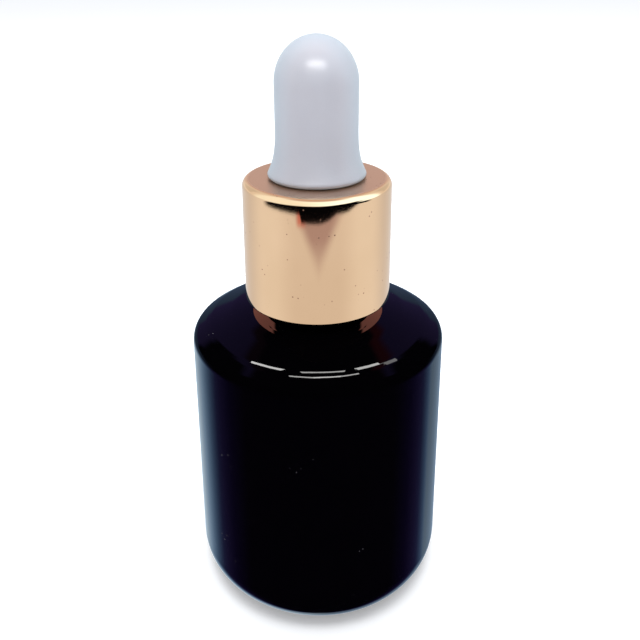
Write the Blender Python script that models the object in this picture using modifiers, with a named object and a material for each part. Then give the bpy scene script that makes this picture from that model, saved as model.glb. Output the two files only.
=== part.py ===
"""Dropper ink bottle: dark glass cylinder, threaded neck, metal clad screw cap and a rubber bulb pipette."""

import math

import bmesh
import bpy

MM = 0.001
NAME = "ink_bottle"

# Facets round the axis.
STEPS_BODY = 40
STEPS_SMALL = 24

# Facets in a quarter turn of a profile's arc.
SMALL_FILLET = 0.6 * MM
SMALL_ARC = 2
BROAD_ARC = 5

# Clearances between pieces that touch in use.
GAP = 0.3 * MM
SLIM_GAP = 0.25 * MM
SEAT_GAP = 0.2 * MM

# Glass bottle.
BODY_R = 18.5 * MM
EDGE_Z = 38.85 * MM
EDGE_FILLET = 1.6 * MM
CREST_R = 12.5 * MM
CREST_Z = 41.9 * MM
CREST_FILLET = 12.0 * MM
INNER_CREASE_R = 15.7 * MM
INNER_CREASE_Z = 40.5 * MM
OUTER_CREASE_R = 16.4 * MM
OUTER_CREASE_Z = 40.12 * MM
HEEL_FILLET = 4.6 * MM
WALL = 2.0 * MM
FLOOR = 3.4 * MM
FOOT_R = 10.5 * MM
PUSH_UP = 1.2 * MM
NECK_R = 7.7 * MM
NECK_ROOT_Z = 43.3 * MM
NECK_ROOT_FILLET = 1.6 * MM
BEAD_R = 8.3 * MM
BEAD_TOP = 47.0 * MM
BEAD_BOTTOM = 45.8 * MM
BEAD_FILLET = 0.4 * MM
BORE_R = 5.4 * MM
RIM_Z = 56.2 * MM
RIM_FILLET = 0.5 * MM

# Screw thread, 8 turns to the inch, right hand.
LEAD = 25.4 * MM / 8
THREAD_TURNS = 1.5
THREAD_TAPER = 0.2
THREAD_STEPS = 40
NECK_THREAD_SUNK = 0.15 * MM
CAP_THREAD_SUNK = 0.05 * MM
NECK_CREST_R = 8.3 * MM
NECK_THREAD_Z = 49.0 * MM
CAP_CREST_R = NECK_CREST_R + GAP
CAP_THREAD_Z = NECK_THREAD_Z + 0.5 * LEAD

# Metal collar.
COLLAR_R = 10.56 * MM
COLLAR_FILLET = 1.0 * MM
COLLAR_WALL = 0.45 * MM
COLLAR_Z = 44.2 * MM
COLLAR_TOP = 62.0 * MM
DECK_HOLE_R = 6.0 * MM

# Threaded inner cap.
CAP_R = COLLAR_R - COLLAR_WALL - GAP
CAP_ROOT_R = 9.1 * MM
CAP_Z = COLLAR_Z + 0.6 * MM
CAP_TOP = COLLAR_TOP - COLLAR_WALL - GAP
CAP_DECK = 1.2 * MM

# Guiding plug pressed into the neck.
PLUG_LIP_R = 7.1 * MM
PLUG_LIP = 0.6 * MM
PLUG_R = BORE_R - GAP
PLUG_LENGTH = 8.0 * MM
PLUG_WALL = 0.8 * MM
PLUG_FLOOR = 0.9 * MM

# Glass pipette.
TUBE_R = 3.4 * MM
TUBE_WALL = 1.0 * MM
TIP_R = 1.5 * MM
TIP_WALL = 0.65 * MM
TIP_Z = 7.2 * MM
TAPER = 9.0 * MM
SHOULDER_TAPER = 2.0 * MM
HEAD_R = 4.3 * MM
HEAD = 0.9 * MM

# Sealing washer under the bulb flange.
WASHER = 0.95 * MM
WASHER_R = 8.0 * MM
PLUG_TOP = RIM_Z + SLIM_GAP + PLUG_LIP
WASHER_Z = PLUG_TOP + SLIM_GAP
WASHER_HOLE_R = TUBE_R + GAP
HEAD_Z = WASHER_Z + WASHER + GAP

# Rubber bulb.
BULB_FLANGE_R = 8.3 * MM
BULB_FLANGE_TOP = CAP_TOP - CAP_DECK - GAP
BULB_GROOVE_R = DECK_HOLE_R - GAP
BULB_BORE_R = HEAD_R + GAP
BULB_SEAT_Z = COLLAR_TOP + SEAT_GAP
BULB_BASE_R = 6.95 * MM
BULB_BASE_FILLET = 0.5 * MM
BULB_R = 5.79 * MM
BULB_FLARE = 7.2 * MM
BULB_STRAIGHT = 5.9 * MM
BULB_DOME = 6.4 * MM
BULB_WALL = BULB_R - BULB_BORE_R
BULB_LIP_FILLET = 0.35 * MM

COLOURS = {
    "bottle": ((0.010, 0.006, 0.016, 1.0), 0.0, 0.06),
    "inner_cap": ((0.03, 0.03, 0.033, 1.0), 0.0, 0.45),
    "collar": ((0.83, 0.60, 0.46, 1.0), 1.0, 0.16),
    "bulb": ((0.80, 0.80, 0.81, 1.0), 0.0, 0.48),
    "pipette": ((0.85, 0.90, 0.90, 0.35), 0.0, 0.04),
    "seal_washer": ((0.86, 0.86, 0.82, 1.0), 0.0, 0.5),
    "guiding_plug": ((0.78, 0.80, 0.80, 1.0), 0.0, 0.35),
}


def clear_scene():
    for obj in list(bpy.data.objects):
        bpy.data.objects.remove(obj, do_unlink=True)


def collection(name):
    made = bpy.data.collections.new(name)
    bpy.context.scene.collection.children.link(made)
    return made


def material(name):
    colour, metallic, roughness = COLOURS[name]
    made = bpy.data.materials.new(name)
    made.use_nodes = True
    shader = made.node_tree.nodes["Principled BSDF"]
    shader.inputs["Base Color"].default_value = colour
    shader.inputs["Metallic"].default_value = metallic
    shader.inputs["Roughness"].default_value = roughness
    shader.inputs["Alpha"].default_value = colour[3]
    made.diffuse_color = colour
    return made


def arc_steps(radius, sweep):
    """Facets for an arc of a profile: more for a broad fillet than for a broken edge."""
    quarter = SMALL_ARC if radius < SMALL_FILLET else BROAD_ARC
    return max(1, round(abs(sweep) / (math.pi / 2) * quarter))


def fillet(before, corner, after, radius):
    """Points of the arc that rounds a corner of a profile."""
    ends = []
    for other in (before, after):
        length = math.dist(corner, other)
        ends.append(((other[0] - corner[0]) / length, (other[1] - corner[1]) / length))
    dot = ends[0][0] * ends[1][0] + ends[0][1] * ends[1][1]
    half = math.acos(max(-1.0, min(1.0, dot))) / 2
    reach = radius / math.tan(half)
    middle = (ends[0][0] + ends[1][0], ends[0][1] + ends[1][1])
    scale = radius / math.sin(half) / math.hypot(*middle)
    centre = (corner[0] + middle[0] * scale, corner[1] + middle[1] * scale)
    start, end = ((corner[0] + u * reach, corner[1] + v * reach) for u, v in ends)
    first = math.atan2(start[1] - centre[1], start[0] - centre[0])
    sweep = math.atan2(end[1] - centre[1], end[0] - centre[0]) - first
    sweep = (sweep + math.pi) % (2 * math.pi) - math.pi
    steps = arc_steps(radius, sweep)
    angles = [first + sweep * i / steps for i in range(steps + 1)]
    return [(centre[0] + radius * math.cos(a), centre[1] + radius * math.sin(a)) for a in angles]


def rounded(corners):
    """Profile through (x, z, fillet radius) corners, with an arc at each corner that has a radius."""
    points = []
    for i, (x, z, radius) in enumerate(corners):
        if radius > 0:
            before = corners[i - 1][:2]
            after = corners[(i + 1) % len(corners)][:2]
            points += fillet(before, (x, z), after, radius)
        else:
            points.append((x, z))
    return points


def turned(name, profile, home, steps, closed):
    """Object made by turning a profile in the XZ plane about Z, with its outer side running down."""
    mesh = bpy.data.meshes.new(name)
    base = min(z for _, z in profile)
    edges = [(i, i + 1) for i in range(len(profile) - 1)]
    if closed:
        edges.append((len(profile) - 1, 0))
    mesh.from_pydata([(x, 0.0, z - base) for x, z in profile], edges, [])
    obj = bpy.data.objects.new(name, mesh)
    obj.location = (0.0, 0.0, base)
    home.objects.link(obj)
    screw = obj.modifiers.new("turn", "SCREW")
    screw.steps = steps
    screw.render_steps = steps
    screw.use_merge_vertices = True
    screw.merge_threshold = 0.00001
    screw.use_smooth_shade = True
    return obj


def finish(obj, name):
    """Gives the object its material and smooth shading with sharp corners kept."""
    depsgraph = bpy.context.evaluated_depsgraph_get()
    mesh = bpy.data.meshes.new_from_object(obj.evaluated_get(depsgraph))
    obj.modifiers.clear()
    obj.data = mesh
    mesh.name = name
    mesh.materials.clear()
    mesh.materials.append(material(name))
    mesh.shade_smooth()
    mesh.set_sharp_from_angle(angle=math.radians(35))
    return obj


def thread_curve(name, radius, depth, z, home):
    """Right hand round thread whose ends run out to nothing."""
    curve = bpy.data.curves.new(name, "CURVE")
    curve.dimensions = "3D"
    curve.bevel_depth = depth
    curve.bevel_resolution = 2
    curve.use_fill_caps = True
    count = int(THREAD_STEPS * THREAD_TURNS) + 1
    spline = curve.splines.new("POLY")
    spline.points.add(count - 1)
    for i, point in enumerate(spline.points):
        share = i / (count - 1)
        angle = 2 * math.pi * THREAD_TURNS * share
        height = z + LEAD * THREAD_TURNS * share
        point.co = (radius * math.cos(angle), radius * math.sin(angle), height, 1.0)
        end = min(share, 1 - share) / THREAD_TAPER
        point.radius = 0.3 + 0.7 * math.sin(math.pi / 2 * min(1.0, end))
    obj = bpy.data.objects.new(name, curve)
    home.objects.link(obj)
    return obj


def curve_mesh(obj, home):
    """Closed mesh object in place of a curve object."""
    bpy.context.view_layer.update()
    depsgraph = bpy.context.evaluated_depsgraph_get()
    mesh = bpy.data.meshes.new_from_object(obj.evaluated_get(depsgraph))
    cleaned = bmesh.new()
    cleaned.from_mesh(mesh)
    bmesh.ops.remove_doubles(cleaned, verts=cleaned.verts, dist=1e-7)
    bmesh.ops.recalc_face_normals(cleaned, faces=cleaned.faces)
    cleaned.to_mesh(mesh)
    cleaned.free()
    name = obj.name
    made = bpy.data.objects.new(name + "_mesh", mesh)
    made.matrix_world = obj.matrix_world
    home.objects.link(made)
    bpy.data.objects.remove(obj, do_unlink=True)
    return made


def add_thread(obj, radius, depth, z, cutters):
    """Joins a round thread to a turned piece."""
    ridge = curve_mesh(thread_curve(obj.name + "_thread", radius, depth, z, cutters), cutters)
    ridge.hide_render = True
    ridge.display_type = "WIRE"
    join = obj.modifiers.new("thread", "BOOLEAN")
    join.operation = "UNION"
    join.solver = "EXACT"
    join.object = ridge


def bottle(parts, cutters):
    inner_r = BODY_R - WALL
    profile = rounded(
        [
            (0.0, FLOOR + PUSH_UP, 0),
            (inner_r, FLOOR, HEEL_FILLET - WALL),
            (inner_r, EDGE_Z - 0.6 * WALL, EDGE_FILLET),
            (CREST_R - 0.5 * WALL, CREST_Z - WALL, CREST_FILLET / 2),
            (BORE_R, NECK_ROOT_Z - 0.7 * WALL, NECK_ROOT_FILLET),
            (BORE_R, RIM_Z, RIM_FILLET),
            (NECK_R, RIM_Z, RIM_FILLET),
            (NECK_R, BEAD_TOP, 0),
            (BEAD_R, BEAD_TOP, BEAD_FILLET),
            (BEAD_R, BEAD_BOTTOM, BEAD_FILLET),
            (NECK_R, BEAD_BOTTOM, 0),
            (NECK_R, NECK_ROOT_Z, NECK_ROOT_FILLET),
            (CREST_R, CREST_Z, CREST_FILLET),
            (INNER_CREASE_R, INNER_CREASE_Z, 0),
            (OUTER_CREASE_R, OUTER_CREASE_Z, 0),
            (BODY_R, EDGE_Z, EDGE_FILLET),
            (BODY_R, 0.0, HEEL_FILLET),
            (FOOT_R, 0.0, 0),
            (FOOT_R - PUSH_UP, PUSH_UP / 2, 0),
            (0.0, PUSH_UP, 0),
        ],
    )
    obj = turned("bottle", profile, parts, STEPS_BODY, False)
    depth = NECK_CREST_R - NECK_R + NECK_THREAD_SUNK
    add_thread(obj, NECK_CREST_R - depth, depth, NECK_THREAD_Z, cutters)
    return finish(obj, "bottle")


def inner_cap(parts, cutters):
    profile = rounded(
        [
            (DECK_HOLE_R, CAP_TOP, 0),
            (CAP_R, CAP_TOP, COLLAR_FILLET - COLLAR_WALL),
            (CAP_R, CAP_Z, 0),
            (CAP_ROOT_R, CAP_Z, 0),
            (CAP_ROOT_R, CAP_TOP - CAP_DECK, 0.4 * MM),
            (DECK_HOLE_R, CAP_TOP - CAP_DECK, 0),
        ],
    )
    obj = turned("inner_cap", profile, parts, STEPS_BODY, True)
    depth = CAP_ROOT_R - CAP_CREST_R + CAP_THREAD_SUNK
    add_thread(obj, CAP_CREST_R + depth, depth, CAP_THREAD_Z, cutters)
    return finish(obj, "inner_cap")


def collar(parts):
    inner_r = COLLAR_R - COLLAR_WALL
    profile = rounded(
        [
            (DECK_HOLE_R, COLLAR_TOP, 0.12 * MM),
            (COLLAR_R, COLLAR_TOP, COLLAR_FILLET),
            (COLLAR_R, COLLAR_Z, 0.15 * MM),
            (inner_r, COLLAR_Z, 0.15 * MM),
            (inner_r, COLLAR_TOP - COLLAR_WALL, COLLAR_FILLET - COLLAR_WALL),
            (DECK_HOLE_R, COLLAR_TOP - COLLAR_WALL, 0.12 * MM),
        ],
    )
    return finish(turned("collar", profile, parts, STEPS_BODY, True), "collar")


def bulb_outside():
    """Outer side of the bulb above the collar, from the crown down to the seat."""
    straight_z = BULB_SEAT_Z + BULB_FLARE
    dome_z = straight_z + BULB_STRAIGHT
    points = []
    for i in range(1, 9):
        turn = math.pi / 2 * i / 8
        points.append((BULB_R * math.sin(turn), dome_z + BULB_DOME * math.cos(turn)))
    for i in range(9):
        share = i / 8
        height = straight_z + (BULB_SEAT_Z + BULB_BASE_FILLET - straight_z) * share
        points.append((BULB_R + (BULB_BASE_R - BULB_R) * share * share * share, height))
    return points


def bulb(parts):
    dome_z = BULB_SEAT_Z + BULB_FLARE + BULB_STRAIGHT
    inside_dome = BULB_DOME - BULB_WALL
    outside = [(0.0, dome_z + BULB_DOME), *bulb_outside()]
    lower = rounded(
        [
            (BULB_BASE_R, BULB_SEAT_Z + 2 * BULB_BASE_FILLET, 0),
            (BULB_BASE_R, BULB_SEAT_Z, BULB_BASE_FILLET),
            (BULB_GROOVE_R, BULB_SEAT_Z, 0),
            (BULB_GROOVE_R, BULB_FLANGE_TOP, 0),
            (BULB_FLANGE_R, BULB_FLANGE_TOP, BULB_LIP_FILLET),
            (BULB_FLANGE_R, HEAD_Z, BULB_LIP_FILLET),
            (BULB_BORE_R, HEAD_Z, 0),
        ],
    )
    inside = [(BULB_BORE_R, dome_z)]
    for i in range(1, 7):
        turn = math.pi / 2 * i / 6
        inside.append((BULB_BORE_R * math.cos(turn), dome_z + inside_dome * math.sin(turn)))
    inside[-1] = (0.0, dome_z + inside_dome)
    profile = outside + lower[2:] + inside
    return finish(turned("bulb", profile, parts, STEPS_BODY, False), "bulb")


def pipette(parts):
    taper_z = TIP_Z + TAPER
    bore_r = TUBE_R - TUBE_WALL
    profile = rounded(
        [
            (bore_r, HEAD_Z + HEAD, 0),
            (HEAD_R, HEAD_Z + HEAD, 0.35 * MM),
            (HEAD_R, HEAD_Z, 0.35 * MM),
            (TUBE_R, HEAD_Z, 0),
            (TUBE_R, taper_z, 2.0 * MM),
            (TUBE_R - SHOULDER_TAPER / 2, taper_z - SHOULDER_TAPER, 2.0 * MM),
            (TIP_R, TIP_Z, 0.3 * MM),
            (TIP_R - TIP_WALL, TIP_Z, 0.3 * MM),
            (bore_r - SHOULDER_TAPER / 2, taper_z - SHOULDER_TAPER, 1.0 * MM),
            (bore_r, taper_z, 1.0 * MM),
        ],
    )
    return finish(turned("pipette", profile, parts, STEPS_SMALL, True), "pipette")


def seal_washer(parts):
    profile = rounded(
        [
            (WASHER_HOLE_R, WASHER_Z + WASHER, 0),
            (WASHER_R, WASHER_Z + WASHER, 0.2 * MM),
            (WASHER_R, WASHER_Z, 0.2 * MM),
            (WASHER_HOLE_R, WASHER_Z, 0),
        ],
    )
    return finish(turned("seal_washer", profile, parts, STEPS_BODY, True), "seal_washer")


def guiding_plug(parts):
    lip_z = RIM_Z + SLIM_GAP
    end_z = lip_z - PLUG_LENGTH
    hole_r = TUBE_R + GAP
    mouth_r = PLUG_R - PLUG_WALL
    profile = rounded(
        [
            (mouth_r, PLUG_TOP, 0),
            (PLUG_LIP_R, PLUG_TOP, 0.2 * MM),
            (PLUG_LIP_R, lip_z, 0.15 * MM),
            (PLUG_R, lip_z, 0),
            (PLUG_R, end_z + 0.8 * MM, 0),
            (PLUG_R - 0.5 * MM, end_z, 0),
            (hole_r, end_z, 0),
            (hole_r, end_z + PLUG_FLOOR, 0),
            (mouth_r, end_z + PLUG_FLOOR + 1.0 * MM, 0),
        ],
    )
    return finish(turned("guiding_plug", profile, parts, STEPS_BODY, True), "guiding_plug")


def axis_empty(name, z, home):
    """Empty on the bottle's axis that carries the pieces of one moving body."""
    obj = bpy.data.objects.new(name, None)
    obj.empty_display_size = BODY_R
    obj.location = (0.0, 0.0, z)
    home.objects.link(obj)
    return obj


def carry(parent, parent_z, pieces):
    """Parents pieces to an empty at a known height and keeps them where they stand."""
    for piece in pieces:
        piece.parent = parent
        piece.location.z -= parent_z


def build():
    clear_scene()
    parts = collection(NAME)
    cutters = collection("cutters")
    bottle(parts, cutters)
    guiding_plug(parts)
    lifted = axis_empty("lift_axis", WASHER_Z, parts)
    turning = axis_empty("cap_axis", COLLAR_Z, parts)
    pressed = axis_empty("bulb_axis", HEAD_Z, parts)
    carry(turning, COLLAR_Z, [inner_cap(parts, cutters), collar(parts)])
    carry(pressed, HEAD_Z, [bulb(parts)])
    carry(lifted, WASHER_Z, [seal_washer(parts), pipette(parts), turning, pressed])


build()
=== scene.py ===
"""Looks of the dropper ink bottle: finely turned pieces, their materials, a pale studio and the camera."""

import math

import bpy
import numpy as np
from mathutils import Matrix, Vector


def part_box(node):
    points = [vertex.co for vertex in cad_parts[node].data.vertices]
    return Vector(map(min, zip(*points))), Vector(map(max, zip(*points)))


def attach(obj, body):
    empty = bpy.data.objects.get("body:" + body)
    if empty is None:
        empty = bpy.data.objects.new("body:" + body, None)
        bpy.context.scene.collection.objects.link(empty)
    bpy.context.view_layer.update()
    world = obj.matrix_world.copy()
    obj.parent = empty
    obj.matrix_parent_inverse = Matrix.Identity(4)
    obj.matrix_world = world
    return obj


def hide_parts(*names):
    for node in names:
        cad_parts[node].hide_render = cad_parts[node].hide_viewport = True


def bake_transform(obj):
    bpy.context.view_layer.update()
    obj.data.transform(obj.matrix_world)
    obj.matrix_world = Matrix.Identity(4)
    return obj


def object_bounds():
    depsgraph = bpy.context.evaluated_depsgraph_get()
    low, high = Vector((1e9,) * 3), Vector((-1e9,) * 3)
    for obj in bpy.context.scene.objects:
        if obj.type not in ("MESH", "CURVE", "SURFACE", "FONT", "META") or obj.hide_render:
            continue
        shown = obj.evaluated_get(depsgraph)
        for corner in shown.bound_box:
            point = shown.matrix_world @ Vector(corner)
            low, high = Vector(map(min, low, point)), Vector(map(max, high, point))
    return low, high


MM = 0.001
TOUCH = 1e-6  # lengths closer than this are the same
SUPPORT = 0.02 * MM  # step from the end of an arc to a point that keeps the straight side's shading straight

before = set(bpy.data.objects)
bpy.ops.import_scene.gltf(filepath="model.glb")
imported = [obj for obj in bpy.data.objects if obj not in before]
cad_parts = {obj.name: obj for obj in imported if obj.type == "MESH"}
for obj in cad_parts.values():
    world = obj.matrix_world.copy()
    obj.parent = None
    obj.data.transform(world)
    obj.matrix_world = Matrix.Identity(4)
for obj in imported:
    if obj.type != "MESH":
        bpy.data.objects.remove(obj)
CAD_LOW, CAD_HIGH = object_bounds()

# Places and sizes that the CAD gives.
BOTTLE_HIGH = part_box("bottle")[1]
PLUG_LOW, PLUG_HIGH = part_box("guiding_plug")
WASHER_LOW, WASHER_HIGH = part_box("seal_washer")
TUBE_LOW, TUBE_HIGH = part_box("pipette")
CAP_LOW, CAP_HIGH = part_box("inner_cap")
COLLAR_LOW, COLLAR_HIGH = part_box("collar")
BULB_LOW, BULB_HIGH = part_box("bulb")

# Bottle. The shoulder falls from its crest beside the neck over two soft creases to the edge of the body.
BODY_R = BOTTLE_HIGH.x
RIM_Z = BOTTLE_HIGH.z
EDGE_Z = 38.85 * MM
EDGE_FILLET = 1.6 * MM
OUTER_CREASE_R = 16.55 * MM
OUTER_CREASE_Z = 40.06 * MM
INNER_CREASE_R = 15.9 * MM
INNER_CREASE_Z = 40.41 * MM
CREASE_FILLET = 4.5 * MM
CREST_R = 12.5 * MM
CREST_Z = 41.9 * MM
CREST_FILLET = 12.0 * MM
NECK_R = 7.7 * MM
NECK_ROOT_Z = 43.6 * MM
NECK_ROOT_FILLET = 1.6 * MM
BEAD_R = 8.3 * MM
BEAD_TOP = 47.0 * MM
BEAD_BOTTOM = 45.8 * MM
BORE_R = 5.4 * MM
WALL = 2.0 * MM
FLOOR = 3.4 * MM
HEEL_FILLET = 4.6 * MM
FOOT_R = 10.5 * MM
FOOT_FILLET = 0.8 * MM
PUSH_UP = 1.2 * MM

# Thread.
LEAD = 25.4 * MM / 8
TURNS = 1.5
RUN_OUT = 0.2  # share of a turn in which the ridge rises or falls
NECK_THREAD_Z = 49.0 * MM
NECK_CREST_R = 8.3 * MM
NECK_RIDGE = 0.72 * MM
CAP_THREAD_Z = NECK_THREAD_Z + 0.5 * LEAD
CAP_CREST_R = 8.6 * MM
CAP_RIDGE = 0.55 * MM

# Plug, washer and pipette.
HOLE_R = 3.7 * MM
PLUG_R = BORE_R - 0.3 * MM
PLUG_WALL = 0.8 * MM
PLUG_LIP = 0.6 * MM
PLUG_FLOOR = 0.9 * MM
PIPETTE_R = 3.4 * MM
PIPETTE_BORE_R = 2.4 * MM
PIPETTE_HEAD = 0.9 * MM
TAPER_R = 1.0 * MM
TAPER = 2.0 * MM
TIP = 9.0 * MM
TIP_R = 1.5 * MM
TIP_BORE_R = 0.85 * MM

# Collar and cap.
DECK_HOLE_R = 6.0 * MM
COLLAR_WALL = 0.45 * MM
COLLAR_FILLET = 1.0 * MM
CAP_R = COLLAR_HIGH.x - COLLAR_WALL - 0.3 * MM
CAP_ROOT_R = 9.1 * MM
CAP_DECK = 1.2 * MM

# Bulb.
SEAT_Z = COLLAR_HIGH.z + 0.1 * MM
BULB_R = 5.79 * MM
BULB_BASE_R = 6.95 * MM
BULB_BORE_R = 4.6 * MM
BULB_GROOVE_R = 5.7 * MM
BULB_FLANGE = 1.2 * MM
BULB_FLARE = 7.2 * MM
BULB_DOME = 6.4 * MM
SEAM_HEIGHT = 0.03 * MM
SEAM_ANGLE = 0.6  # radians from +X
SEAM_WIDTH = 0.02  # radians

# Studio.
FLOOR_SIDE = 16.0
CEILING_Z = 0.50
TUBES = (
    # name, one end and the other end in x, y, width, power for each square metre
    ("tube_left", (-0.262, 0.150), (-0.128, 0.058), 0.050, 36.0),
    ("tube_middle", (-0.062, 0.030), (0.098, 0.038), 0.036, 24.0),
    ("tube_right", (0.140, 0.058), (0.235, 0.122), 0.058, 30.0),
    ("tube_far_right", (0.240, 0.096), (0.345, 0.172), 0.015, 8.0),
    ("tube_near_left", (-0.115, -0.020), (-0.020, -0.036), 0.030, 26.0),
    ("tube_near", (-0.020, -0.036), (0.090, -0.024), 0.030, 36.0),
    ("tube_near_right", (0.090, -0.024), (0.165, 0.004), 0.030, 26.0),
)
BLACK = (0.0, 0.0, 0.0)
WHITE = (1.0, 1.0, 1.0)
DARK_ROOM = (0.002, 0.002, 0.003)
HORIZON = (0.07, 0.105, 0.18)
WARM_LIGHT = (1.0, 0.99, 0.97)
COOL_LIGHT = (0.97, 0.985, 1.0)

# Camera, at the photo's distance, height and angle. Its lens is shifted, because the photo is cropped.
CAMERA_BACK = 5.216 * BODY_R
CAMERA_UP = 4.937 * BODY_R
CAMERA_PITCH = 0.308  # radians below level
CAMERA_ROLL = math.radians(0.34)
CAMERA_LENS = 40.348  # mm
CAMERA_SHIFT = {"shift_x": 0.004688, "shift_y": -0.210625}
HOME_RADIUS = 0.0001  # how far the camera may be from its own place while the shift holds


# ---------------------------------------------------------------- mesh tools


def fillet(before, corner, after, radius, arc_step):
    """Points of the arc that rounds a corner of a profile, with a supporting point beyond each end."""
    corner = np.array(corner)
    ends = [np.array(p) - corner for p in (before, after)]
    ends = [e / np.linalg.norm(e) for e in ends]
    half = math.acos(float(np.clip(ends[0] @ ends[1], -1, 1))) / 2
    middle = ends[0] + ends[1]
    centre = corner + middle / np.linalg.norm(middle) * radius / math.sin(half)
    reach = radius / math.tan(half)
    start, end = (corner + e * reach for e in ends)
    before_arc, after_arc = (corner + e * (reach + SUPPORT) for e in ends)
    first = math.atan2(*(start - centre)[::-1])
    sweep = math.atan2(*(end - centre)[::-1]) - first
    sweep = (sweep + math.pi) % (2 * math.pi) - math.pi
    count = max(3, math.ceil(abs(sweep) / math.radians(arc_step)))
    angles = first + sweep * np.linspace(0, 1, count + 1)
    arc = [(centre[0] + radius * math.cos(a), centre[1] + radius * math.sin(a)) for a in angles]
    return [tuple(before_arc), *arc, tuple(after_arc)]


def rounded(corners, arc_step):
    """Profile through (x, z, fillet radius) corners. The arcs have a point every arc_step degrees."""
    points = []
    for i, (x, z, radius) in enumerate(corners):
        if radius > 0:
            before = corners[i - 1][:2]
            after = corners[(i + 1) % len(corners)][:2]
            points += fillet(before, (x, z), after, radius, arc_step)
        else:
            points.append((x, z))
    return points


def quarter_ellipse(radius, z, height, steps):
    """Points from the crown of a dome down to its rim."""
    turns = [math.pi / 2 * i / steps for i in range(steps + 1)]
    return [(radius * math.sin(t), z + height * math.cos(t)) for t in turns]


def divided(a, b, count):
    """The point a and the points that divide the way from a to b into equal steps."""
    return [(a[0] + (b[0] - a[0]) * k / count, a[1] + (b[1] - a[1]) * k / count) for k in range(count)]


def filled_in(points, longest, closed):
    """The same profile with no straight step longer than the given length."""
    made = []
    for a, b in zip(points, points[1:] + (points[:1] if closed else [])):
        made += divided(a, b, max(1, math.ceil(math.dist(a, b) / longest)))
    return made if closed else [*made, points[-1]]


def threaded_rows(points, radius, low, longest):
    """The same profile with shorter steps on its wall of the given radius, above a height."""
    made = []
    for a, b in zip(points, points[1:]):
        on_wall = abs(a[0] - radius) < TOUCH and abs(b[0] - radius) < TOUCH and b[1] > low
        made += divided(a, b, max(1, math.ceil(math.dist(a, b) / longest)) if on_wall else 1)
    return [*made, points[-1]]


def thread_shape(root_r, crest_r, z0, half_width):
    """Radius change of a round right hand thread on the wall of root_r, running out at both ends."""

    def shape(x, z, angles):
        ridge = np.zeros(len(angles))
        if abs(x - root_r) > TOUCH:
            return ridge
        for turn in range(-1, math.ceil(TURNS) + 1):
            along = angles / (2 * math.pi) + turn
            off = (z - z0 - LEAD * along) / half_width
            ends = np.clip(np.minimum(along, TURNS - along) / RUN_OUT, 0, 1)
            ends = ends * ends * (3 - 2 * ends)
            ridge = np.maximum(ridge, np.sqrt(np.clip(1 - off * off, 0, 1)) * ends)
        return ridge * (crest_r - root_r)

    return shape


def turned(name, profile, closed, segments, shape=None):
    """Smooth object turned about Z from a profile whose outer side runs down.

    A closed profile is a ring, and an open one starts and ends on the axis. shape(x, z, angles) gives what is
    added to the radius.
    """
    angles = np.linspace(0, 2 * math.pi, segments, endpoint=False)
    verts, rows = [], []
    for x, z in profile:
        if x < TOUCH:
            rows.append([len(verts)] * segments)
            verts.append((0.0, 0.0, z))
            continue
        radii = x + (shape(x, z, angles) if shape else np.zeros(segments))
        rows.append(list(range(len(verts), len(verts) + segments)))
        verts += [(r * math.cos(a), r * math.sin(a), z) for r, a in zip(radii, angles)]
    faces = []
    for upper, lower in zip(rows, rows[1:] + (rows[:1] if closed else [])):
        for i in range(segments):
            j = (i + 1) % segments
            corners = [upper[i], lower[i], lower[j], upper[j]]
            face = [v for k, v in enumerate(corners) if v != corners[k - 1]]
            if len(face) > 2:
                faces.append(face)
    mesh = bpy.data.meshes.new(name)
    mesh.from_pydata(verts, [], faces)
    mesh.validate()
    mesh.shade_smooth()
    obj = bpy.data.objects.new(name, mesh)
    bpy.context.scene.collection.objects.link(obj)
    return obj


# ---------------------------------------------------------------- node tools


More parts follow.
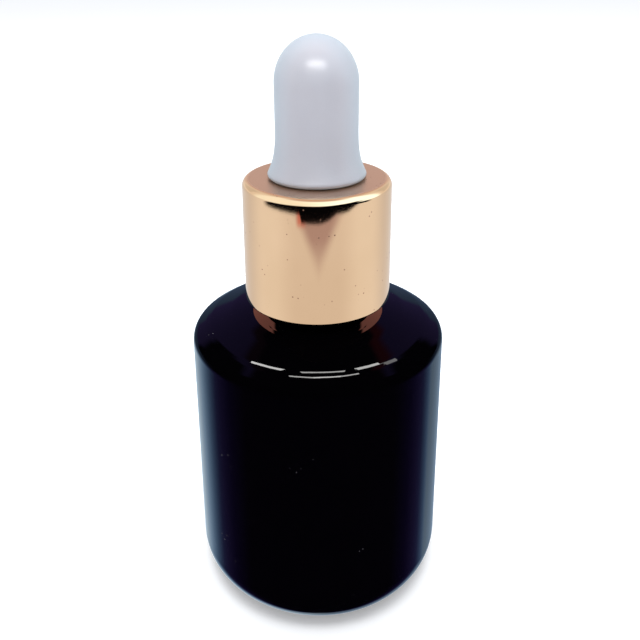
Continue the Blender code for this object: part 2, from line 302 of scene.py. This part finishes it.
class Nodes:
    """Short way to build a node tree."""

    def __init__(self, tree):
        self.tree = tree

    def add(self, kind, **settings):
        node = self.tree.nodes.new(kind)
        for key, value in settings.items():
            setattr(node, key, value)
        return node

    def put(self, socket, value):
        """Feeds a socket from another one, or sets its own value."""
        if isinstance(value, bpy.types.NodeSocket):
            self.tree.links.new(value, socket)
        elif socket.type == "RGBA":
            socket.default_value = (*value, 1.0)
        else:
            socket.default_value = value

    def maths(self, operation, *values):
        node = self.add("ShaderNodeMath", operation=operation)
        for socket, value in zip(node.inputs, values):
            self.put(socket, value)
        return node.outputs[0]

    def plus(self, a, b):
        return self.maths("ADD", a, b)

    def minus(self, a, b):
        return self.maths("SUBTRACT", a, b)

    def times(self, first, *others):
        for other in others:
            first = self.maths("MULTIPLY", first, other)
        return first

    def largest(self, a, b):
        return self.maths("MAXIMUM", a, b)

    def size(self, value):
        """The value without its sign."""
        return self.maths("ABSOLUTE", value)

    def ramp(self, value, low, high, at_low, at_high):
        """Runs straight from one number to another while the value goes from low to high."""
        node = self.add("ShaderNodeMapRange")
        names = ("Value", "From Min", "From Max", "To Min", "To Max")
        for name, number in zip(names, (value, low, high, at_low, at_high)):
            self.put(node.inputs[name], number)
        return node.outputs["Result"]

    def smooth(self, value, at_zero, at_one):
        """Runs smoothly from 0 to 1 while the value goes from at_zero to at_one."""
        node = self.add("ShaderNodeMapRange", interpolation_type="SMOOTHSTEP")
        for name, number in zip(("Value", "From Min", "From Max"), (value, at_zero, at_one)):
            self.put(node.inputs[name], number)
        return node.outputs["Result"]

    def band(self, value, start, full, fade, end):
        """Rises from 0 to 1 between start and full, and falls to 0 again between fade and end."""
        return self.times(self.ramp(value, start, full, 0.0, 1.0), self.ramp(value, fade, end, 1.0, 0.0))

    def mix(self, factor, a, b):
        """Colour a where the factor is 0, and b where it is 1."""
        node = self.add("ShaderNodeMix", data_type="RGBA")
        for socket, value in zip((node.inputs["Factor"], *node.inputs[6:8]), (factor, a, b)):
            self.put(socket, value)
        return node.outputs[2]

    def stops(self, value, stops):
        """Colour that runs through the given stops as the value grows."""
        low, high = stops[0][0], stops[-1][0]
        node = self.add("ShaderNodeValToRGB")
        self.put(node.inputs[0], self.ramp(value, low, high, 0.0, 1.0))
        marks = node.color_ramp.elements
        while len(marks) < len(stops):
            marks.new(0.5)
        for mark, (at, colour) in zip(marks, stops):
            mark.position = (at - low) / (high - low)
            mark.color = (*colour, 1.0)
        return node.outputs[0]

    def xyz(self, vector):
        node = self.add("ShaderNodeSeparateXYZ")
        self.put(node.inputs[0], vector)
        return list(node.outputs)

    def from_axis(self, x, y):
        """Distance from the bottle's axis."""
        return self.maths("SQRT", self.plus(self.times(x, x), self.times(y, y)))

    def by_mirror(self, plain, in_glass, in_metal):
        """One colour for plain views, one for what the sharp glass mirrors and one for the softer metal."""
        path = self.add("ShaderNodeLightPath")
        mirrored = self.mix(path.outputs["Is Singular Ray"], in_metal, in_glass)
        return self.mix(path.outputs["Is Glossy Ray"], plain, mirrored)


class Material(Nodes):
    """Node tree of one new material. Its textures stay with the piece when the piece moves."""

    def __init__(self, name):
        self.material = bpy.data.materials.new(name)
        self.material.use_nodes = True
        super().__init__(self.material.node_tree)
        self.place = self.add("ShaderNodeTexCoord").outputs["Object"]

    def set(self, **values):
        """Sets the shader's inputs, and gives the material."""
        shader = self.tree.nodes["Principled BSDF"]
        for key, value in values.items():
            self.put(shader.inputs[key.replace("_", " ")], value)
        return self.material

    def scaled(self, scale):
        node = self.add("ShaderNodeMapping")
        self.put(node.inputs["Vector"], self.place)
        self.put(node.inputs["Scale"], scale)
        return node.outputs["Vector"]

    def noise(self, scale, detail, place=None):
        node = self.add("ShaderNodeTexNoise")
        for name, value in zip(("Vector", "Scale", "Detail"), (place or self.place, scale, detail)):
            self.put(node.inputs[name], value)
        return node.outputs["Fac"]

    def dust(self, scale, size, patches, low, high):
        """1 on sparse round specks, which keep to the patches where a coarser noise is above low."""
        node = self.add("ShaderNodeTexVoronoi")
        self.put(node.inputs["Vector"], self.place)
        self.put(node.inputs["Scale"], scale)
        specks = self.ramp(node.outputs["Distance"], size * 0.6, size, 1.0, 0.0)
        return self.times(specks, self.ramp(patches, low, high, 0.0, 1.0))

    def bump(self, height, distance, strength):
        node = self.add("ShaderNodeBump")
        for name, value in zip(("Height", "Distance", "Strength"), (height, distance, strength)):
            self.put(node.inputs[name], value)
        return node.outputs["Normal"]

    def facing(self, blend):
        node = self.add("ShaderNodeLayerWeight")
        self.put(node.inputs["Blend"], blend)
        return node.outputs["Facing"]

    def axial(self):
        """Distance from the bottle's axis and height, of the shaded point at rest."""
        x, y, z = self.xyz(self.place)
        return self.from_axis(x, y), z


# ---------------------------------------------------------------- materials


def dark_glass():
    """Almost black violet glass with a faint ripple. It is a sharp mirror, apart from sparse dust."""
    n = Material("dark_violet_glass")
    dust = n.dust(1400.0, 0.08, n.noise(140.0, 2.0), 0.66, 0.72)
    smear = n.noise(90.0, 4.0)
    return n.set(
        Base_Color=n.mix(dust, (0.0004, 0.0003, 0.0006), (0.40, 0.40, 0.42)),
        Roughness=n.times(dust, 0.4),
        IOR=n.ramp(smear, 0.3, 0.7, 1.515, 1.53),
        Normal=n.bump(n.noise(900.0, 3.0), 0.01 * MM, 0.35),
    )


def painted_glow_beside_neck(n, share):
    """Painted glow that the glass mirrors on both sides of the neck, in place of light through the gap under
    the collar.
    """
    beside = n.smooth(n.size(n.xyz(n.place)[0]), 0.85 * NECK_R, 0.92 * NECK_R)
    return n.mix(n.times(beside, share), BLACK, (1.65, 0.58, 0.42))


def rose_gold():
    """Polished metal with fine pits, and a softer top face that is tinted darker and pinker as painted shade.
    In the glass's mirror it is painted dark, with a painted glow below.
    """
    n = Material("rose_gold_anodised")
    outer_r, low, top = COLLAR_HIGH.x, COLLAR_LOW.z, COLLAR_HIGH.z
    far, height = n.axial()
    grain = n.noise(2200.0, 3.0, n.scaled((1.0, 1.0, 14.0)))
    cloud = n.ramp(n.noise(60.0, 3.0), 0.35, 0.65, 0.0, 1.0)
    pits = n.dust(1300.0, 0.17, n.noise(300.0, 1.0), 0.57, 0.61)
    on_top = n.times(
        n.ramp(height, top - 0.2 * MM, top - 0.05 * MM, 0.0, 1.0),
        n.ramp(far, outer_r - 0.96 * MM, outer_r - 0.61 * MM, 1.0, 0.0),
    )
    under = n.ramp(height, low + 0.30 * MM, low + 0.45 * MM, 1.0, 0.0)
    inside = n.times(
        n.ramp(far, outer_r - 0.3 * MM, outer_r - 0.2 * MM, 1.0, 0.0),
        n.ramp(height, low + 4.0 * MM, low + 5.0 * MM, 1.0, 0.0),
    )
    in_glass = n.add("ShaderNodeLightPath").outputs["Is Singular Ray"]
    tint = n.mix(cloud, (0.730, 0.512, 0.326), (0.775, 0.550, 0.360))
    # painted shade: the top face is tinted darker and pinker than the wall; its extra roughness is a softer
    # finish
    tint = n.mix(on_top, tint, (0.62, 0.42, 0.31))
    # painted reflection: what the glass mirrors of the metal is painted almost black, with no metal shine
    tint = n.mix(in_glass, tint, (0.004, 0.002, 0.002))
    softer = n.plus(n.times(pits, 0.3), n.times(on_top, 0.32))
    return n.set(
        Base_Color=n.mix(pits, tint, (0.42, 0.24, 0.17)),
        Metallic=n.ramp(in_glass, 0.0, 1.0, 1.0, 0.0),
        Specular_IOR_Level=n.ramp(in_glass, 0.0, 1.0, 0.5, 0.0),
        Roughness=n.plus(n.ramp(grain, 0.3, 0.7, 0.024, 0.038), softer),
        Normal=n.bump(grain, 0.001 * MM, 0.25),
        # painted glow on the lower edge and the inside, seen only in the glass's mirror
        Emission_Color=painted_glow_beside_neck(n, n.largest(under, inside)),
        Emission_Strength=in_glass,
    )


def white_rubber():
    """Slightly milky rubber with a painted bluish sheen where it turns away, a satin shine, fine grain and a
    little dust.
    """
    n = Material("white_silicone_rubber")
    cloud = n.noise(120.0, 4.0)
    dust = n.dust(1100.0, 0.09, n.noise(220.0, 1.0), 0.60, 0.66)
    # painted sheen: the colour turns bluer where the surface turns away from the view
    painted_edge_sheen = n.ramp(n.facing(0.4), 0.15, 0.75, 0.0, 1.0)
    tint = n.mix(cloud, (0.515, 0.510, 0.555), (0.555, 0.550, 0.590))
    tint = n.mix(painted_edge_sheen, tint, (0.42, 0.50, 0.57))
    return n.set(
        Base_Color=n.mix(dust, tint, (0.45, 0.44, 0.44)),
        Roughness=n.ramp(cloud, 0.3, 0.7, 0.30, 0.34),
        Subsurface_Weight=0.30,
        Subsurface_Radius=(1.0, 0.9, 0.85),
        Subsurface_Scale=0.8 * MM,
        Specular_IOR_Level=0.42,
        Normal=n.bump(n.noise(3200.0, 2.0), 0.012 * MM, 0.6),
    )


def clear_glass():
    """Clear glass with faint drawing streaks along the tube."""
    n = Material("clear_pipette_glass")
    streak = n.noise(500.0, 2.0, n.scaled((1.0, 1.0, 0.06)))
    return n.set(
        Base_Color=(0.93, 0.97, 0.97),
        Roughness=n.ramp(streak, 0.3, 0.7, 0.01, 0.035),
        IOR=1.47,
        Transmission_Weight=1.0,
        Normal=n.bump(streak, 0.01 * MM, 0.3),
    )


def moulded_plastic(n, dark, light, rough, translucent):
    """Clouded plastic with a fine moulded grain."""
    cloud = n.noise(150.0, 3.0)
    return n.set(
        Base_Color=n.mix(cloud, dark, light),
        Roughness=n.ramp(cloud, 0.3, 0.7, rough - 0.06, rough + 0.06),
        Subsurface_Weight=translucent,
        Subsurface_Radius=(1.0, 1.0, 0.9),
        Subsurface_Scale=1.0 * MM,
        Normal=n.bump(n.noise(2600.0, 3.0), 0.01 * MM, 0.5),
    )


def plug_plastic():
    n = Material("natural_polyethylene")
    return moulded_plastic(n, (0.72, 0.75, 0.76), (0.80, 0.82, 0.82), 0.36, 0.3)


def washer_plastic():
    n = Material("white_polyethylene")
    return moulded_plastic(n, (0.80, 0.80, 0.77), (0.86, 0.86, 0.83), 0.48, 0.2)


def cap_plastic():
    """Black plastic. Where the glass mirrors its lower end and outer wall, it has a painted glow in place of
    light from behind through the gap under the collar.
    """
    n = Material("black_polypropylene")
    moulded_plastic(n, (0.022, 0.021, 0.024), (0.035, 0.034, 0.037), 0.42, 0.0)
    far, height = n.axial()
    under = n.ramp(height, CAP_LOW.z + 0.6 * MM, CAP_LOW.z + 1.0 * MM, 1.0, 0.0)
    outside = n.ramp(far, CAP_HIGH.x - 0.15 * MM, CAP_HIGH.x - 0.05 * MM, 0.0, 1.0)
    # painted glow on the lower end and the outer wall, seen only in the glass's mirror
    glow = painted_glow_beside_neck(n, n.largest(under, outside))
    return n.set(Emission_Color=n.by_mirror(BLACK, glow, BLACK), Emission_Strength=1.0)


# ---------------------------------------------------------------- pieces


def dress(obj, material, node):
    """Gives a piece its material and hides the CAD node that it stands for."""
    obj.data.materials.append(material)
    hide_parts(node)


def make_bottle():
    inner_r = BODY_R - WALL
    corners = [
        # inside, from the middle of the floor up to the rim
        (0.0, FLOOR + PUSH_UP, 0),
        (inner_r, FLOOR, HEEL_FILLET - WALL),
        (inner_r, EDGE_Z - 0.6 * WALL, EDGE_FILLET),
        (CREST_R - 0.5 * WALL, CREST_Z - WALL, CREST_FILLET / 2),
        (BORE_R, NECK_ROOT_Z - 0.7 * WALL, NECK_ROOT_FILLET),
        (BORE_R, RIM_Z, 0.5 * MM),
        # outside, from the rim down to the middle of the foot
        (NECK_R, RIM_Z, 0.5 * MM),
        (NECK_R, BEAD_TOP, 0.15 * MM),
        (BEAD_R, BEAD_TOP, 0.4 * MM),
        (BEAD_R, BEAD_BOTTOM, 0.4 * MM),
        (NECK_R, BEAD_BOTTOM, 0.15 * MM),
        (NECK_R, NECK_ROOT_Z, NECK_ROOT_FILLET),
        (CREST_R, CREST_Z, CREST_FILLET),
        (INNER_CREASE_R, INNER_CREASE_Z, CREASE_FILLET),
        (OUTER_CREASE_R, OUTER_CREASE_Z, CREASE_FILLET),
        (BODY_R, EDGE_Z, EDGE_FILLET),
        (BODY_R, 0.0, HEEL_FILLET),
        (FOOT_R, 0.0, FOOT_FILLET),
        (FOOT_R - PUSH_UP, PUSH_UP / 2, FOOT_FILLET),
        (0.0, PUSH_UP, 0),
    ]
    profile = filled_in(rounded(corners, 6), 1.2 * MM, closed=False)
    profile = threaded_rows(profile, NECK_R, BEAD_TOP, 0.12 * MM)
    thread = thread_shape(NECK_R, NECK_CREST_R, NECK_THREAD_Z, NECK_RIDGE)
    obj = turned("glass_body", profile, False, 192, thread)
    dress(obj, dark_glass(), "bottle")
    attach(obj, "bottle")
    return obj


def make_plug():
    top, low = PLUG_HIGH.z, PLUG_LOW.z
    mouth_r = PLUG_R - PLUG_WALL
    corners = [
        (mouth_r, top, 0.15 * MM),
        (PLUG_HIGH.x, top, 0.2 * MM),
        (PLUG_HIGH.x, top - PLUG_LIP, 0.15 * MM),
        (PLUG_R, top - PLUG_LIP, 0.1 * MM),
        (PLUG_R, low + 0.8 * MM, 0.3 * MM),
        (PLUG_R - 0.5 * MM, low, 0.2 * MM),
        (HOLE_R, low, 0.15 * MM),
        (HOLE_R, low + PLUG_FLOOR, 0.2 * MM),
        (mouth_r, low + PLUG_FLOOR + 1.0 * MM, 0.3 * MM),
    ]
    profile = filled_in(rounded(corners, 12), 1.0 * MM, closed=True)
    obj = turned("neck_plug", profile, True, 128)
    dress(obj, plug_plastic(), "guiding_plug")
    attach(obj, "bottle")


def make_washer():
    low, top, outer_r = WASHER_LOW.z, WASHER_HIGH.z, WASHER_HIGH.x
    corners = [
        (HOLE_R, top, 0.15 * MM),
        (outer_r, top, 0.2 * MM),
        (outer_r, low, 0.2 * MM),
        (HOLE_R, low, 0.15 * MM),
    ]
    profile = filled_in(rounded(corners, 12), 0.8 * MM, closed=True)
    obj = turned("seal_disc", profile, True, 128)
    dress(obj, washer_plastic(), "seal_washer")
    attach(obj, "seal")


def make_pipette():
    top, low, head_r = TUBE_HIGH.z, TUBE_LOW.z, TUBE_HIGH.x
    head_z, taper_z = top - PIPETTE_HEAD, low + TIP
    corners = [
        (PIPETTE_BORE_R, top, 0.2 * MM),
        (head_r, top, 0.35 * MM),
        (head_r, head_z, 0.35 * MM),
        (PIPETTE_R, head_z, 0.2 * MM),
        (PIPETTE_R, taper_z, 2.0 * MM),
        (PIPETTE_R - TAPER_R, taper_z - TAPER, 2.0 * MM),
        (TIP_R, low, 0.3 * MM),
        (TIP_BORE_R, low, 0.3 * MM),
        (PIPETTE_BORE_R - TAPER_R, taper_z - TAPER, 1.0 * MM),
        (PIPETTE_BORE_R, taper_z, 1.0 * MM),
    ]
    profile = filled_in(rounded(corners, 8), 1.5 * MM, closed=True)
    obj = turned("dropper_tube", profile, True, 96)
    dress(obj, clear_glass(), "pipette")
    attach(obj, "dropper")


def make_cap():
    low, top = CAP_LOW.z, CAP_HIGH.z
    corners = [
        (DECK_HOLE_R, top, 0.1 * MM),
        (CAP_R, top, COLLAR_FILLET - COLLAR_WALL),
        (CAP_R, low, 0.15 * MM),
        (CAP_ROOT_R, low, 0.15 * MM),
        (CAP_ROOT_R, top - CAP_DECK, 0.4 * MM),
        (DECK_HOLE_R, top - CAP_DECK, 0.1 * MM),
    ]
    profile = filled_in(rounded(corners, 10), 0.8 * MM, closed=True)
    profile = threaded_rows(profile, CAP_ROOT_R, low, 0.13 * MM)
    thread = thread_shape(CAP_ROOT_R, CAP_CREST_R, CAP_THREAD_Z, CAP_RIDGE)
    obj = turned("cap_liner", profile, True, 160, thread)
    dress(obj, cap_plastic(), "inner_cap")
    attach(obj, "cap")


def make_collar():
    outer_r, low, top = COLLAR_HIGH.x, COLLAR_LOW.z, COLLAR_HIGH.z
    inner_r = outer_r - COLLAR_WALL
    corners = [
        (DECK_HOLE_R, top, 0.15 * MM),
        (outer_r, top, COLLAR_FILLET),
        (outer_r, low, 0.2 * MM),
        (inner_r, low, 0.15 * MM),
        (inner_r, top - COLLAR_WALL, COLLAR_FILLET - COLLAR_WALL),
        (DECK_HOLE_R, top - COLLAR_WALL, 0.12 * MM),
    ]
    profile = filled_in(rounded(corners, 5), 1.0 * MM, closed=True)
    obj = turned("metal_shell", profile, True, 224)
    dress(obj, rose_gold(), "collar")
    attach(obj, "cap")


def bulb_seam(x, z, angles):
    """Two fine mould seams on the outside of the bulb."""
    if z < SEAT_Z or x < BULB_BORE_R + 0.5 * MM:
        return np.zeros(len(angles))
    return SEAM_HEIGHT * np.exp(-((np.sin(angles - SEAM_ANGLE) / SEAM_WIDTH) ** 2))


def make_bulb():
    crown, low = BULB_HIGH.z, BULB_LOW.z
    dome_z = crown - BULB_DOME
    flare_z = SEAT_Z + BULB_FLARE
    flare_end_z = SEAT_Z + 0.5 * MM
    steps = 21
    profile = quarter_ellipse(BULB_R, dome_z, BULB_DOME, 24)
    for i in range(1, steps + 1):
        share = i / steps
        swell = (BULB_BASE_R - BULB_R) * share**3
        profile.append((BULB_R + swell, flare_z + (flare_end_z - flare_z) * share))
    corners = [
        (BULB_BASE_R, SEAT_Z + 1.0 * MM, 0),
        (BULB_BASE_R, SEAT_Z, 0.45 * MM),
        (BULB_GROOVE_R, SEAT_Z, 0.1 * MM),
        (BULB_GROOVE_R, low + BULB_FLANGE, 0.1 * MM),
        (BULB_HIGH.x, low + BULB_FLANGE, 0.35 * MM),
        (BULB_HIGH.x, low, 0.35 * MM),
        (BULB_BORE_R, low, 0.2 * MM),
        (BULB_BORE_R, dome_z, 0),
    ]
    profile += rounded(corners, 9)[1:]
    inner_dome = quarter_ellipse(BULB_BORE_R, dome_z, BULB_DOME - (BULB_R - BULB_BORE_R), 12)
    profile += inner_dome[-2::-1]
    obj = turned("squeeze_teat", filled_in(profile, 0.5 * MM, closed=False), False, 192, bulb_seam)
    dress(obj, white_rubber(), "bulb")
    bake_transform(obj)
    return obj


# ---------------------------------------------------------------- what the glass and the metal mirror


def floor_in_glass(n):
    """Bluish light from behind, fading to violet and black towards the front."""
    x, y, z = n.xyz(n.add("ShaderNodeNewGeometry").outputs["Incoming"])
    side, height = n.times(x, -1.0), n.times(z, -1.0)
    on_right = n.smooth(side, -0.1, 0.1)
    angle = n.minus(n.maths("ARCTAN2", n.size(side), y), n.ramp(on_right, 0.0, 1.0, 0.06, 0.12))
    light = n.stops(
        angle,  # in radians from the camera's side
        (
            (1.15, (0.006, 0.004, 0.012)),
            (1.47, (0.018, 0.010, 0.060)),
            (1.71, (0.044, 0.034, 0.135)),
            (1.82, (0.055, 0.060, 0.185)),
            (1.92, (0.105, 0.165, 0.340)),
            (2.02, (0.18, 0.30, 0.52)),
            (2.13, (0.30, 0.48, 0.74)),
            (2.30, (0.50, 0.72, 0.98)),
            (2.50, (0.66, 0.84, 1.0)),
        ),
    )
    light = n.mix(n.times(on_right, n.smooth(angle, 1.98, 2.14)), light, (0.30, 0.42, 0.57))
    horizon = n.mix(n.smooth(angle, 1.6, 2.2), DARK_ROOM, HORIZON)
    return n.mix(n.smooth(height, -0.42, -0.20), light, horizon)


def table_edge(n, signed, angle):
    """Distance from the axis at which the bright floor ends: wider to the sides, with a notch in front."""
    right = n.maths("DIVIDE", n.largest(signed, 0.0), 0.48)
    notch = n.largest(n.minus(1.0, n.times(right, right)), 0.0)
    notch = n.times(notch, n.smooth(signed, -0.45, -0.39), 0.0090)
    edge = n.minus(n.plus(0.1744, n.times(n.maths("POWER", angle, 2.0), 0.0040)), notch)
    return n.plus(edge, n.times(n.smooth(signed, 0.7, 1.3), 0.0090))


def floor_in_metal(n):
    """Bright floor with a painted shadow streak and a red blush in front, and the dark room beyond its near
    edge.
    """
    x, y, _ = n.xyz(n.add("ShaderNodeNewGeometry").outputs["Position"])
    far = n.from_axis(x, y)
    signed = n.maths("ARCTAN2", x, n.times(y, -1.0))
    angle = n.size(signed)
    bright = n.mix(n.smooth(angle, 0.5, 1.2), (0.92, 0.90, 0.89), (1.03, 1.04, 1.04))
    bright = n.mix(n.smooth(angle, 1.5, 2.2), bright, (0.83, 0.83, 0.84))

    # painted shadow: a dark streak on the floor in front, seen only in the metal's mirror
    half_width = n.times(n.minus(far, 0.122), 10.5)
    streak = n.smooth(n.minus(half_width, n.size(n.minus(signed, 0.03))), -0.16, 0.16)
    streak = n.times(streak, n.band(far, 0.112, 0.150, 0.19, 0.24))
    seen = n.mix(streak, bright, (0.56, 0.44, 0.47))
    blush = n.times(n.band(signed, -0.56, -0.47, -0.34, -0.26), n.band(far, 0.160, 0.166, 0.176, 0.180))
    seen = n.mix(n.times(blush, 0.7), seen, (0.75, 0.15, 0.10))

    past_edge = n.smooth(n.minus(far, table_edge(n, signed, angle)), -0.0010, 0.0010)
    end = n.maths("MINIMUM", n.ramp(angle, 0.2, 1.2, 0.80, 0.55), n.ramp(angle, 1.2, 1.50, 0.55, 0.19))
    before_end = n.ramp(n.minus(far, end), -0.02, 0.02, 1.0, 0.0)
    dark = n.times(past_edge, n.largest(before_end, n.smooth(signed, 0.0, 0.3)), n.smooth(angle, 1.56, 1.30))
    return n.mix(dark, seen, DARK_ROOM)


def room_in_glass(n, x, y, z):
    """Black in front. Behind, a violet wall with a dark gap in the middle and a bluish horizon."""
    side = n.size(x)
    slant = n.maths("DIVIDE", side, n.largest(z, 0.01))
    wash = n.mix(n.smooth(x, -0.1, 0.1), (0.030, 0.012, 0.020), (0.11, 0.014, 0.020))
    wall = n.mix(n.smooth(slant, 0.42, 0.50), DARK_ROOM, wash)
    wall = n.mix(n.smooth(slant, 0.52, 0.64), wall, (0.060, 0.043, 0.145))
    wall = n.mix(n.smooth(z, 0.15, 0.07), wall, HORIZON)
    behind = n.largest(n.smooth(side, 0.60, 0.54), n.smooth(y, 0.56, 0.68))
    return n.mix(n.times(n.smooth(y, 0.06, 0.14), behind), DARK_ROOM, wall)


def room_in_metal(n, x, y, z):
    """Bright in front, warmer and dimmer behind and above, with a dark patch low on the right."""
    side = n.size(x)
    front = n.mix(n.smooth(x, -0.6, 0.6), (1.28, 1.42, 1.40), (1.72, 2.15, 2.35))
    back = n.mix(n.smooth(side, 0.30, 0.55), (0.80, 0.66, 0.62), (1.02, 0.98, 0.92))
    room = n.mix(n.smooth(y, 0.10, 0.40), front, back)
    room = n.mix(n.smooth(z, 0.85, 0.97), room, (0.80, 0.64, 0.60))
    corner = n.times(n.smooth(side, 0.42, 0.55), n.smooth(y, 0.40, 0.52), n.band(z, 0.10, 0.22, 0.55, 0.70))
    room = n.mix(corner, room, (0.82, 0.79, 0.73))
    low = n.smooth(n.minus(z, n.ramp(x, 0.0, 0.83, -0.14, 0.27)), 0.012, -0.012)
    right = n.times(n.smooth(x, 0.0, 0.1), n.smooth(x, 0.98, 0.84), n.smooth(y, 0.05, -0.05))
    return n.mix(n.times(low, right), room, DARK_ROOM)


# ---------------------------------------------------------------- stage, light, camera


def floor_material():
    """Pale floor. The glossy pieces mirror other pictures of it."""
    n = Material("pale_floor")
    pale = n.mix(n.noise(14.0, 3.0), (0.90, 0.905, 0.91), (0.925, 0.925, 0.93))
    return n.set(
        Base_Color=n.by_mirror(pale, BLACK, BLACK),
        Roughness=0.8,
        Specular_IOR_Level=0.0,
        Emission_Color=n.by_mirror((0.24, 0.24, 0.24), floor_in_glass(n), floor_in_metal(n)),
        Emission_Strength=1.0,
    )


def make_floor():
    half = FLOOR_SIDE / 2
    corners = [(-half, -half, 0), (half, -half, 0), (half, half, 0), (-half, half, 0)]
    mesh = bpy.data.meshes.new("floor")
    mesh.from_pydata(corners, [], [(0, 1, 2, 3)])
    mesh.materials.append(floor_material())
    floor = bpy.data.objects.new("floor", mesh)
    floor.location.z = CAD_LOW.z
    bpy.context.scene.collection.objects.link(floor)


def make_world():
    """Soft room light, and the two pictures of the room that the glass and the metal mirror."""
    world = bpy.data.worlds.new("studio")
    world.use_nodes = True
    bpy.context.scene.world = world
    n = Nodes(world.node_tree)
    x, y, z = n.xyz(n.add("ShaderNodeTexCoord").outputs["Generated"])
    room = n.mix(n.smooth(y, -0.75, 0.45), (0.26, 0.26, 0.31), (0.62, 0.65, 0.68))
    room = n.mix(n.smooth(z, 0.35, 0.85), room, (0.92, 0.94, 0.97))
    room = n.mix(n.add("ShaderNodeLightPath").outputs["Is Camera Ray"], room, WHITE)
    seen = n.by_mirror(room, room_in_glass(n, x, y, z), room_in_metal(n, x, y, z))
    n.put(world.node_tree.nodes["Background"].inputs["Color"], seen)


def area_light(name, place, target, size, power, colour):
    light = bpy.data.lights.new(name, "AREA")
    light.shape = "RECTANGLE"
    light.size, light.size_y = size
    light.energy = power
    light.color = colour
    obj = bpy.data.objects.new(name, light)
    obj.location = place
    obj.rotation_euler = (Vector(target) - Vector(place)).to_track_quat("-Z", "Y").to_euler()
    bpy.context.scene.collection.objects.link(obj)
    return obj


def only_mirrored_by(light, piece):
    """Keeps a light to what one piece mirrors of it."""
    group = bpy.data.collections.new(light.name + "_reaches")
    group.objects.link(piece)
    light.light_linking.receiver_collection = group
    light.visible_diffuse = False


def make_tubes(glass):
    """Strips under the ceiling that make the broken highlight on the bottle's shoulder."""
    for name, start, end, width, brightness in TUBES:
        length = math.dist(start, end)
        place = ((start[0] + end[0]) / 2, (start[1] + end[1]) / 2, CEILING_Z)
        power = brightness * length * width
        tube = area_light(name, place, (*place[:2], 0), (length, width), power, WARM_LIGHT)
        tube.rotation_euler = (0.0, 0.0, math.atan2(end[1] - start[1], end[0] - start[0]))
        only_mirrored_by(tube, glass)


def make_lights(glass, rubber):
    make_tubes(glass)
    glint = area_light("bulb_glint", (0.0, -0.42, 0.50), (0, 0, BULB_HIGH.z), (0.50, 0.12), 4.6, WARM_LIGHT)
    only_mirrored_by(glint, rubber)
    overhead = area_light("overhead", (0.0, 0.05, 0.70), (0, 0, 0.04), (0.6, 0.6), 5.0, COOL_LIGHT)
    overhead.visible_glossy = False


def drive_shift(camera, home):
    """The lens shift holds only while the camera is at its own place, so that other views stay centred."""
    for name, value in CAMERA_SHIFT.items():
        driver = camera.data.driver_add(name).driver
        driver.type = "SCRIPTED"
        distance = driver.variables.new()
        distance.name = "d"
        distance.type = "LOC_DIFF"
        distance.targets[0].id = camera
        distance.targets[1].id = home
        driver.expression = f"{value} if d < {HOME_RADIUS} else 0.0"


def make_camera():
    data = bpy.data.cameras.new("camera")
    data.lens = CAMERA_LENS
    data.clip_start = 0.005
    data.clip_end = 30.0
    camera = bpy.data.objects.new("camera", data)
    camera.location = (0.0, -CAMERA_BACK, CAD_LOW.z + CAMERA_UP)
    aim = Vector((0.0, math.cos(CAMERA_PITCH), -math.sin(CAMERA_PITCH)))
    camera.rotation_euler = aim.to_track_quat("-Z", "Y").to_euler()
    camera.rotation_euler.rotate_axis("Z", -CAMERA_ROLL)
    home = bpy.data.objects.new("camera_home", None)
    home.location = camera.location
    for obj in (camera, home):
        bpy.context.scene.collection.objects.link(obj)
    drive_shift(camera, home)
    bpy.context.scene.camera = camera


glass_body = make_bottle()
make_plug()
make_washer()
make_pipette()
make_cap()
make_collar()
squeeze_teat = make_bulb()
make_floor()
make_world()
make_lights(glass_body, squeeze_teat)
make_camera()
bpy.context.scene.view_settings.view_transform = "Standard"
